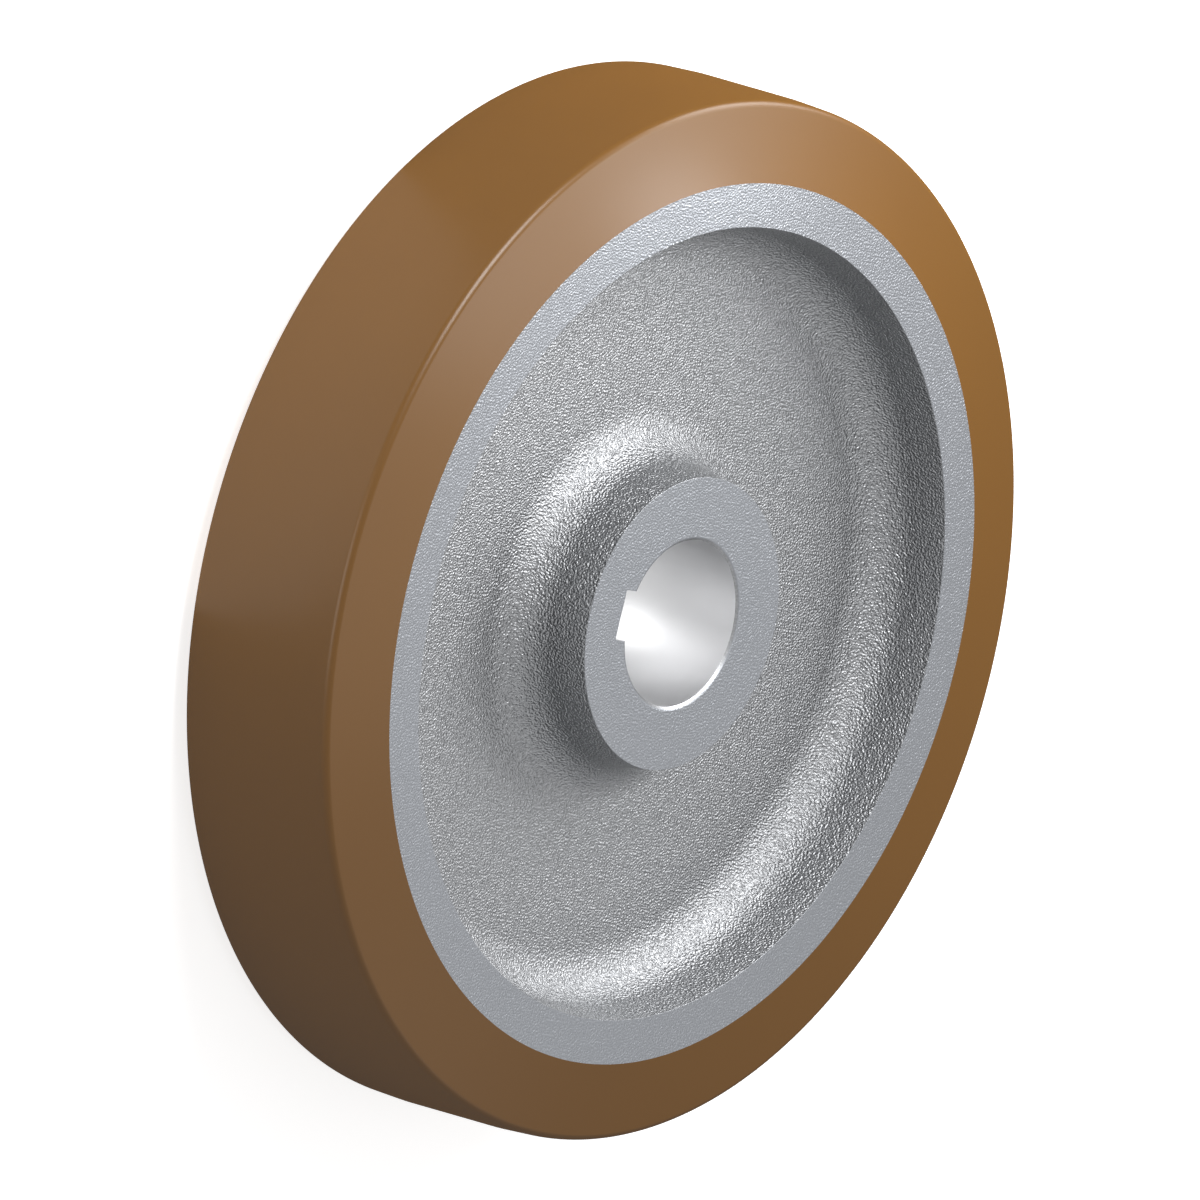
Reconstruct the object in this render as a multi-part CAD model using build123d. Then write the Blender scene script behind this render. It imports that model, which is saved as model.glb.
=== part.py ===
from build123d import *
from math import cos, radians, tan
import os

# Drive wheel: an iron wheel centre with a keyed bore, and a polyurethane tread cast on to its rim.
# The wheel lies on one side face. Z is the axle's line, and the origin is the middle of the bore.
# The keyway lies towards +X. Both side faces are alike.

# Driving dimensions, in millimetres and degrees.
wheel_diameter = 250.0       # over the flat middle of the running surface
wheel_width = 50.0           # across the rim and the hub, which end in the same plane
tread_thickness = 19.5       # from the turned outside of the rim to the middle of the running surface
tread_side_slope = 10.0      # the tread's side faces fall back from the rim by this angle
tread_edge = 2.0             # rounding between the tread's side and the running surface
crown_width = 25.0           # the flat middle of the running surface
crown_fall = 0.45            # from there the radius shrinks by this much to each side
rim_thickness = 10.5         # at the side face, between the recess and the tread
web_thickness = 12.0
casting_draft = 9.0          # slope of the recess walls, on the rim and on the hub
rim_fillet = 12.0            # from the web up to the rim
hub_fillet = 11.5            # from the web up to the hub
hub_diameter = 70.0
bore_diameter = 40.0
bore_chamfer = 0.6
keyway_width = 12.0          # the parallel key that goes with a shaft of 40
keyway_depth = 3.3           # from the bore's wall at the keyway's middle
keyway_corner = 0.4

# Radii and half sizes that follow from these.
half_width = wheel_width / 2
half_web = web_thickness / 2
running_radius = wheel_diameter / 2
seat_radius = running_radius - tread_thickness
recess_radius = seat_radius - rim_thickness
hub_radius = hub_diameter / 2
bore_radius = bore_diameter / 2
keyway_floor = bore_radius + keyway_depth

# The recess wall leans by the draft, so the rim and the hub are thicker at the web than at the face.
recess_depth = half_width - half_web
wall_lean = recess_depth * tan(radians(casting_draft))
rim_foot_radius = recess_radius - wall_lean
hub_foot_radius = hub_radius + wall_lean


def fillet_in_recess(radius):
    """The radius, or the largest one for which the recess wall and half of the web have room."""
    length_per_radius = tan(radians(90 - casting_draft) / 2)
    wall_length = recess_depth / cos(radians(casting_draft))
    web_length = (rim_foot_radius - hub_foot_radius) / 2
    return min(radius, wall_length / length_per_radius, web_length / length_per_radius)


def rounded(section, place, radius):
    """The section with the corner that lies at a place rounded."""
    corner = section.vertices().sort_by_distance(place)[0]
    return fillet(corner, radius)


def turned(half_section):
    """A solid turned about the axle. The half section lies on one side of the middle plane."""
    section = half_section + mirror(half_section, Plane.XZ)
    return revolve(Plane.XZ * section, Axis.Z)


def wheel_centre():
    """The casting: hub, web and rim in one, with a recess on each side and the machined bore."""
    bore_mouth = bore_radius + bore_chamfer
    hub_foot = (hub_foot_radius, half_web)
    rim_foot = (rim_foot_radius, half_web)
    section = make_face(Polyline(
        (bore_radius, 0),
        (bore_radius, half_width - bore_chamfer),
        (bore_mouth, half_width),
        (hub_radius, half_width),
        hub_foot,
        rim_foot,
        (recess_radius, half_width),
        (seat_radius, half_width),
        (seat_radius, 0),
        close=True,
    ))
    section = rounded(section, hub_foot, fillet_in_recess(hub_fillet))
    section = rounded(section, rim_foot, fillet_in_recess(rim_fillet))
    return turned(section) - keyway()


def keyway():
    """What the broach takes out for the key, through the whole bore."""
    slot = Rectangle(keyway_floor, keyway_width, align=(Align.MIN, Align.CENTER))
    floor_corners = slot.vertices().group_by(Axis.X)[-1]
    slot = fillet(floor_corners, keyway_corner)
    return extrude(slot, half_width, both=True)


def tread():
    """The tread: flush with the rim at its root, with sides that fall back, and crowned where it runs."""
    side_height = tread_thickness - crown_fall
    side_fall = side_height * tan(radians(tread_side_slope))
    running_edge = (seat_radius + side_height, half_width - side_fall)
    section = make_face(Polyline(
        (seat_radius, 0),
        (seat_radius, half_width),
        running_edge,
        (running_radius, crown_width / 2),
        (running_radius, 0),
        close=True,
    ))
    section = rounded(section, running_edge, tread_edge)
    return turned(section)


os.makedirs("parts", exist_ok=True)
export_step(wheel_centre(), "parts/wheel_centre.step")
export_step(tread(), "parts/tread.step")
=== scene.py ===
from math import cos, pi, radians, sin, tan

import bmesh
import bpy
from mathutils import Matrix, Vector


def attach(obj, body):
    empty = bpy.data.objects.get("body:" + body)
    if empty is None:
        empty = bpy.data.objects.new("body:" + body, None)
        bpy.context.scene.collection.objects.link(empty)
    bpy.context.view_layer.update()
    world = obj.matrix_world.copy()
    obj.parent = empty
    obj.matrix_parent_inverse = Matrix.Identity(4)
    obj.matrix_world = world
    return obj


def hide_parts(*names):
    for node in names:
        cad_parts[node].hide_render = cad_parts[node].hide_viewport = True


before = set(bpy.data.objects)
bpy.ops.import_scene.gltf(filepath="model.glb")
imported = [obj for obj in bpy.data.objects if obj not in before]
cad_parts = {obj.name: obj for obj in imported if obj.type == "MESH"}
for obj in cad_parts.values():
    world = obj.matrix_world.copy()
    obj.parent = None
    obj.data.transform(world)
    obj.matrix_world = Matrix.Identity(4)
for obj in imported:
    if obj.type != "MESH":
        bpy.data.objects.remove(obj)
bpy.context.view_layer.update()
mm = 0.001


# Camera. The picture shows the wheel in parallel view, with its axle pointing at the viewer's lower
# right. The wheel lies on its side face here, as it would rest, so the camera looks down on it and is
# rolled until the wheel stands in the frame as it does in the picture.
sight_to_axle = radians(52.44)
axle_below_level = radians(16.04)
keyway_off_picture = radians(4.7)
picture_width = 280.35 * mm
middle_left = 0.075 * mm
middle_up = 0.1 * mm
camera_distance = 1.0

axle = Vector((0, 0, 1))
shortened = Vector((-cos(keyway_off_picture), sin(keyway_off_picture), 0))
unshortened = Vector((-sin(keyway_off_picture), -cos(keyway_off_picture), 0))
towards_viewer = axle * cos(sight_to_axle) - shortened * sin(sight_to_axle)
along_axle = shortened * cos(sight_to_axle) + axle * sin(sight_to_axle)
picture_right = along_axle * cos(axle_below_level) + unshortened * sin(axle_below_level)
picture_up = unshortened * cos(axle_below_level) - along_axle * sin(axle_below_level)
picture_middle = picture_up * middle_up - picture_right * middle_left

camera = bpy.data.objects.new("camera", bpy.data.cameras.new("camera"))
camera.data.type = "ORTHO"
camera.data.ortho_scale = picture_width
camera.matrix_world = (Matrix.Translation(picture_middle + towards_viewer * camera_distance)
                       @ Matrix((picture_right, picture_up, towards_viewer)).transposed().to_4x4())
bpy.context.scene.collection.objects.link(camera)
bpy.context.scene.camera = camera


# Studio. White surroundings and a plain white paper floor. The camera and every gloss see both as
# white, but they light the wheel no more than soft room light does.
floor_height = -25 * mm
floor_size = 6.0
floor_grey = 0.8
floor_glow = 0.76
room_light = 0.25


class Value:
    """A socket's output. Arithmetic on it adds Math nodes."""

    def __init__(self, finish, output):
        self.finish = finish
        self.output = output

    def maths(self, operation, *operands):
        return self.finish.add("ShaderNodeMath", {"operation": operation}, dict(enumerate(operands)))

    def __add__(self, other):
        return self.maths("ADD", self, other)

    __radd__ = __add__

    def __sub__(self, other):
        return self.maths("SUBTRACT", self, other)

    def __rsub__(self, other):
        return self.maths("SUBTRACT", other, self)

    def __mul__(self, other):
        return self.maths("MULTIPLY", self, other)

    __rmul__ = __mul__

    def __abs__(self):
        return self.maths("ABSOLUTE", self)


class Finish:
    """A node tree that is built node by node."""

    def __init__(self, owner):
        owner.use_nodes = True
        self.owner = owner
        self.tree = owner.node_tree
        self.tree.nodes.clear()

    def add(self, kind, settings=None, sockets=None, output=0):
        """One node: its settings first, then its sockets' values or links. Returns one of its outputs."""
        node = self.tree.nodes.new(kind)
        for name, setting in (settings or {}).items():
            setattr(node, name, setting)
        for name, given in (sockets or {}).items():
            if isinstance(given, Value):
                self.tree.links.new(given.output, node.inputs[name])
            else:
                node.inputs[name].default_value = given
        return Value(self, node.outputs[output]) if len(node.outputs) else node


def mirrored_rays(finish):
    """1 for the rays that see a thing in a gloss or through glass, 0 for all others."""
    in_gloss = finish.add("ShaderNodeLightPath", output="Is Glossy Ray")
    through_glass = finish.add("ShaderNodeLightPath", output="Is Transmission Ray")
    return in_gloss.maths("MAXIMUM", in_gloss, through_glass)


def camera_rays(finish):
    """1 for the rays that come straight from the camera, 0 for all others."""
    return finish.add("ShaderNodeLightPath", output="Is Camera Ray")


surroundings = Finish(bpy.context.scene.world or bpy.data.worlds.new("surroundings"))
bpy.context.scene.world = surroundings.owner
looked_at = camera_rays(surroundings) + mirrored_rays(surroundings)
dim = surroundings.add("ShaderNodeBackground", None, {"Color": (1, 1, 1, 1), "Strength": room_light})
white = surroundings.add("ShaderNodeBackground", None, {"Color": (1, 1, 1, 1), "Strength": 1.0})
seen = surroundings.add("ShaderNodeMixShader", None, {0: looked_at, 1: dim, 2: white})
surroundings.add("ShaderNodeOutputWorld", None, {"Surface": seen})

floor_mesh = bmesh.new()
bmesh.ops.create_grid(floor_mesh, x_segments=1, y_segments=1, size=floor_size / 2,
                      matrix=Matrix.Translation((0, 0, floor_height)))
floor = bpy.data.objects.new("floor", bpy.data.meshes.new("floor"))
floor_mesh.to_mesh(floor.data)
floor_mesh.free()
bpy.context.scene.collection.objects.link(floor)

paper = Finish(bpy.data.materials.new("paper"))
matt = paper.add("ShaderNodeBsdfDiffuse", None, {"Color": (floor_grey, floor_grey, floor_grey, 1)})
glow = paper.add("ShaderNodeEmission", None, {"Color": (1, 1, 1, 1), "Strength": floor_glow})
lit_and_glowing = paper.add("ShaderNodeAddShader", None, {0: matt, 1: glow})
pure_white = paper.add("ShaderNodeEmission", None, {"Color": (1, 1, 1, 1), "Strength": 1.0})
to_camera = paper.add("ShaderNodeMixShader", None, {0: camera_rays(paper), 1: matt, 2: lit_and_glowing})
to_gloss = paper.add("ShaderNodeMixShader", None, {0: mirrored_rays(paper), 1: to_camera, 2: pure_white})
paper.add("ShaderNodeOutputMaterial", None, {"Surface": to_gloss})
floor.data.materials.append(paper.owner)


# Lamps. Round soft boxes 0.6 m away, the strongest above the wheel as the picture shows it, and two
# small ones near its face, which make its upper side brighter than its lower one. The last two lie on
# the floor and shine up: one beside the tread, for a sheen on it, and one under the open bore.
above_floor = 0.1 * mm


def lamp(name, right, up, out, size, watts, back=None):
    """A lamp whose place is given in metres along the face, to the right and up, and out of the face.

    It shines at the wheel's middle, or straight away from its back where that is given.
    """
    light = bpy.data.lights.new(name, "AREA")
    light.shape = "DISK"
    light.size = size
    light.energy = watts
    place = shortened * right + unshortened * up + axle * out
    holder = bpy.data.objects.new(name, light)
    holder.location = place
    holder.rotation_mode = "QUATERNION"
    holder.rotation_quaternion = (place if back is None else back).to_track_quat("Z", "Y")
    holder.visible_camera = False
    bpy.context.scene.collection.objects.link(holder)


lamp("upper_left_lamp", -0.246, 0.426, 0.344, 0.3, 2.875)
lamp("upper_right_lamp", 0.282, 0.488, 0.205, 0.3, 2.6)
lamp("right_lamp", 0.3, 0.3, 0.424, 0.3, 1.368)
lamp("front_lamp", 0.205, 0.0, 0.564, 0.3, 0.247)
lamp("lower_right_lamp", 0.3, -0.3, 0.424, 0.3, 0.133)
lamp("near_face_lamp", -0.02, 0.08, 0.15, 0.0625, 0.029)
lamp("near_edge_lamp", 0.015, 0.11, 0.09, 0.0325, 0.0212)
lamp("low_left_lamp", -0.59, -0.1, 0.09, 0.3, 0.5)
lamp("tread_lamp", -0.165, 0.045, floor_height + above_floor, 0.17, 0.042, back=-axle)
lamp("bore_lamp", -0.0055, 0.0068, floor_height + above_floor, 0.015, 0.0019, back=-axle)


# Wheel centre: one iron casting with its hub, web and rim, sprayed with silver-grey paint.
# The recesses are as they left the sand, with draft and wide fillets. The side faces and the rim's
# outside are turned, and the bore is bored, chamfered and broached for a key.
turn_steps = 360
half_width = 25 * mm
half_web = 6 * mm
bore_radius = 20 * mm
bore_chamfer = 0.6 * mm
hub_radius = 35 * mm
seat_radius = 105.5 * mm
recess_radius = 95 * mm
draft = radians(9)
hub_fillet = 11.5 * mm
rim_fillet = 12 * mm
wall_lean = (half_width - half_web) * tan(draft)


def half_section(corners, longest=4 * mm, part_angle=radians(6)):
    """A chain of edges in the XZ plane through corners given as (radius, height, rounding)."""
    section = bmesh.new()
    points = [Vector((radius, 0, height)) for radius, height, rounding in corners]
    pen = [section.verts.new(points[0])]

    def line_to(point):
        pen[:] = bmesh.ops.extrude_vert_indiv(section, verts=pen)["verts"]
        bmesh.ops.translate(section, verts=pen, vec=point - pen[0].co)

    for before, corner, after, (_, _, rounding) in zip(points, points[1:], points[2:], corners[1:]):
        if not rounding:
            line_to(corner)
            continue
        back, on = (before - corner).normalized(), (after - corner).normalized()
        opening = back.angle(on)
        line_to(corner + back * rounding / tan(opening / 2))
        centre = corner + (back + on).normalized() * rounding / sin(opening / 2)
        turn = (pi - opening) * (1 if back.cross(on).y < 0 else -1)
        swept = bmesh.ops.spin(section, geom=pen, cent=centre, axis=(0, 1, 0), angle=turn,
                               steps=max(3, round(abs(turn) / part_angle)))
        pen[:] = [part for part in swept["geom_last"] if isinstance(part, bmesh.types.BMVert)]
    line_to(points[-1])
    for edge in list(section.edges):
        cuts = int(edge.calc_length() / longest)
        if cuts:
            bmesh.ops.subdivide_edges(section, edges=[edge], cuts=cuts)
    return section


def turned(name, section):
    """An object that is turned about the axle from a half section, and its mirror image below it."""
    bmesh.ops.spin(section, geom=section.verts[:] + section.edges[:], cent=(0, 0, 0), axis=(0, 0, 1),
                   angle=2 * pi, steps=turn_steps, use_merge=True)
    bmesh.ops.mirror(section, geom=section.verts[:] + section.edges[:] + section.faces[:],
                     axis="Z", merge_dist=0.001 * mm)
    bmesh.ops.remove_doubles(section, verts=section.verts, dist=0.001 * mm)
    bmesh.ops.recalc_face_normals(section, faces=section.faces)
    piece = bpy.data.objects.new(name, bpy.data.meshes.new(name))
    section.to_mesh(piece.data)
    section.free()
    bpy.context.scene.collection.objects.link(piece)
    return piece


casting = turned("painted_casting", half_section([
    (bore_radius, 0, 0),
    (bore_radius, half_width - bore_chamfer, 0),
    (bore_radius + bore_chamfer, half_width, 0),
    (hub_radius, half_width, 0),
    (hub_radius + wall_lean, half_web, hub_fillet),
    (recess_radius - wall_lean, half_web, rim_fillet),
    (recess_radius, half_width, 0),
    (seat_radius, half_width, 0),
    (seat_radius, 0, 0),
]))

# The keyway is broached through the whole bore, with small roundings in the corners of its floor.
keyway_width = 12 * mm
keyway_floor = 23.3 * mm
keyway_corner = 0.4 * mm
keyway_length = 60 * mm

broach_mesh = bmesh.new()
bmesh.ops.create_cube(broach_mesh, size=1.0)
bmesh.ops.scale(broach_mesh, vec=(keyway_floor, keyway_width, keyway_length), verts=broach_mesh.verts)
bmesh.ops.translate(broach_mesh, vec=(keyway_floor / 2, 0, 0), verts=broach_mesh.verts)
floor_corners = [edge for edge in broach_mesh.edges
                 if all(vert.co.x > keyway_floor / 2 for vert in edge.verts)
                 and abs(edge.verts[0].co.z - edge.verts[1].co.z) > keyway_length / 2]
bmesh.ops.bevel(broach_mesh, geom=floor_corners, offset=keyway_corner, segments=4, profile=0.5,
                affect="EDGES", material=-1)
broach = bpy.data.objects.new("broach", bpy.data.meshes.new("broach"))
broach_mesh.to_mesh(broach.data)
broach_mesh.free()
bpy.context.scene.collection.objects.link(broach)

cut = casting.modifiers.new("keyway", "BOOLEAN")
cut.operation = "DIFFERENCE"
cut.solver = "EXACT"
cut.object = broach
bpy.context.view_layer.update()
cut_mesh = bpy.data.meshes.new_from_object(casting.evaluated_get(bpy.context.evaluated_depsgraph_get()))
casting.modifiers.clear()
casting.data = cut_mesh
bpy.data.objects.remove(broach)


def smooth(piece, sharp_angle=radians(28)):
    """Smooth shading between the real edges, with the flat faces kept flat."""
    piece.data.shade_smooth()
    piece.data.set_sharp_from_angle(angle=sharp_angle)
    even = piece.modifiers.new("even_normals", "WEIGHTED_NORMAL")
    even.keep_sharp = True


smooth(casting)


def ramp(finish, value, low, high):
    """0 below the low value and 1 above the high one, with a smooth change between them."""
    return finish.add("ShaderNodeMapRange", {"interpolation_type": "SMOOTHSTEP"},
                      {"Value": value, "From Min": low, "From Max": high})


def mixed(finish, share, first, second):
    """The first colour where the share is 0, and the second where it is 1."""
    return finish.add("ShaderNodeMix", {"data_type": "RGBA"}, {0: share, 6: first, 7: second}, output=2)


# Paint over the casting: satin silver-grey. The sand's grain stands out under it in the recesses, is
# fainter on the turned faces, and ends at the chamfer. Its pits are painted darker, as painted shade.
grain_size = 0.5 * mm
grain_depth = 0.5 * mm
turned_away = 0.6            # the part of the grain that turning takes off
cast_height = half_width - 0.2 * mm
turned_height = half_width - 0.05 * mm
pit_level = 0.35
tip_level = 0.65
# painted shade: the pit greys are darker than the tip greys, so the grain's pits look shaded
cast_pit_shade_grey = (0.233, 0.237, 0.244, 1)
cast_tip_grey = (0.284, 0.289, 0.298, 1)
turned_pit_shade_grey = (0.226, 0.235, 0.252, 1)
turned_tip_grey = (0.256, 0.266, 0.284, 1)

paint = Finish(bpy.data.materials.new("silver_paint"))
place = paint.add("ShaderNodeTexCoord", output="Object")
height = abs(paint.add("ShaderNodeSeparateXYZ", None, {0: place}, output="Z"))
turned_face = ramp(paint, height, cast_height, turned_height)
grain = paint.add("ShaderNodeTexNoise", None, {"Vector": place, "Scale": 1 / grain_size, "Detail": 0.5})
across = paint.add("ShaderNodeVectorMath", {"operation": "MULTIPLY"}, {0: place, 1: (1, 1, 0)})
radius = paint.add("ShaderNodeVectorMath", {"operation": "LENGTH"}, {0: across}, output="Value")
off_chamfer = ramp(paint, radius, bore_radius + bore_chamfer, bore_radius + 1.5 * bore_chamfer)
relief = grain * (1 - turned_face * turned_away) * off_chamfer
bumps = paint.add("ShaderNodeBump", None, {"Strength": 1.0, "Distance": grain_depth, "Height": relief})
# painted shade in the pits: the colour goes from the pit grey to the tip grey with the grain's height
tips = ramp(paint, grain, pit_level, tip_level)
cast_colour = mixed(paint, tips, cast_pit_shade_grey, cast_tip_grey)
face_colour = mixed(paint, tips, turned_pit_shade_grey, turned_tip_grey)
colour = mixed(paint, turned_face, cast_colour, face_colour)
gloss = paint.add("ShaderNodeBsdfPrincipled", None,
                  {"Base Color": colour, "Metallic": 1.0, "Roughness": 0.4, "Normal": bumps})
paint.add("ShaderNodeOutputMaterial", None, {"Surface": gloss})

# The bore and the keyway are bare iron, with the fine feed marks of the boring tool round them.
feed = 0.04 * mm
mark_depth = 0.002 * mm

bare_iron = Finish(bpy.data.materials.new("bored_iron"))
depth = bare_iron.add("ShaderNodeSeparateXYZ", None,
                      {0: bare_iron.add("ShaderNodeTexCoord", output="Object")}, output="Z")
feed_marks = bare_iron.add("ShaderNodeTexNoise", {"noise_dimensions": "1D"},
                           {"W": depth, "Scale": 1 / feed, "Detail": 1.0})
scored = bare_iron.add("ShaderNodeBump", None,
                       {"Strength": 1.0, "Distance": mark_depth, "Height": feed_marks})
bright = bare_iron.add("ShaderNodeBsdfPrincipled", None,
                       {"Base Color": (0.655, 0.657, 0.665, 1), "Metallic": 1.0, "Roughness": 0.35,
                        "Normal": scored})
bare_iron.add("ShaderNodeOutputMaterial", None, {"Surface": bright})

casting.data.materials.clear()
casting.data.materials.append(paint.owner)
casting.data.materials.append(bare_iron.owner)
bored_height = half_width - bore_chamfer
for face in casting.data.polygons:
    bored = face.center.xy.length < hub_radius and abs(face.center.z) < bored_height
    face.material_index = 1 if bored else 0
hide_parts("wheel_centre")
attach(casting, "root")


# Tread: brown polyurethane, poured round the rim in a mould and bonded there. Its sides fall back
# from the rim, and a small rounding leads to the running surface, which is turned with a slight crown.
tread_radius = 125 * mm
crown_width = 25 * mm
crown_fall = 0.45 * mm
side_radius = tread_radius - crown_fall
side_slope = radians(10)
side_fall = (side_radius - seat_radius) * tan(side_slope)
running_edge = 2 * mm

tread = turned("moulded_tread", half_section([
    (seat_radius, 0, 0),
    (seat_radius, half_width, 0),
    (side_radius, half_width - side_fall, running_edge),
    (tread_radius, crown_width / 2, 0),
    (tread_radius, 0, 0),
]))
smooth(tread)

# The polyurethane is an even brown, a little cloudy, with the faint satin skin that the mould leaves.
cloud_size = 100 / 3 * mm
dark_brown = (0.128, 0.051, 0.0005, 1)
light_brown = (0.138, 0.056, 0.001, 1)
skin_share = 0.038

rubber = Finish(bpy.data.materials.new("brown_polyurethane"))
spot = rubber.add("ShaderNodeTexCoord", output="Object")
cloud = rubber.add("ShaderNodeTexNoise", None, {"Vector": spot, "Scale": 1 / cloud_size, "Detail": 3.0})
brown = mixed(rubber, cloud, dark_brown, light_brown)
body = rubber.add("ShaderNodeBsdfPrincipled", None,
                  {"Base Color": brown, "Roughness": 0.6, "Specular IOR Level": 0.0})
skin = rubber.add("ShaderNodeBsdfAnisotropic", None, {"Color": (1, 1, 1, 1), "Roughness": 0.34})
skinned = rubber.add("ShaderNodeMixShader", None, {0: skin_share, 1: body, 2: skin})
rubber.add("ShaderNodeOutputMaterial", None, {"Surface": skinned})
tread.data.materials.clear()
tread.data.materials.append(rubber.owner)
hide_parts("tread")
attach(tread, "root")


# Colour settings. The finished wheel has to stay inside the CAD model's box.
bpy.context.scene.view_settings.view_transform = "Standard"
bpy.context.view_layer.update()
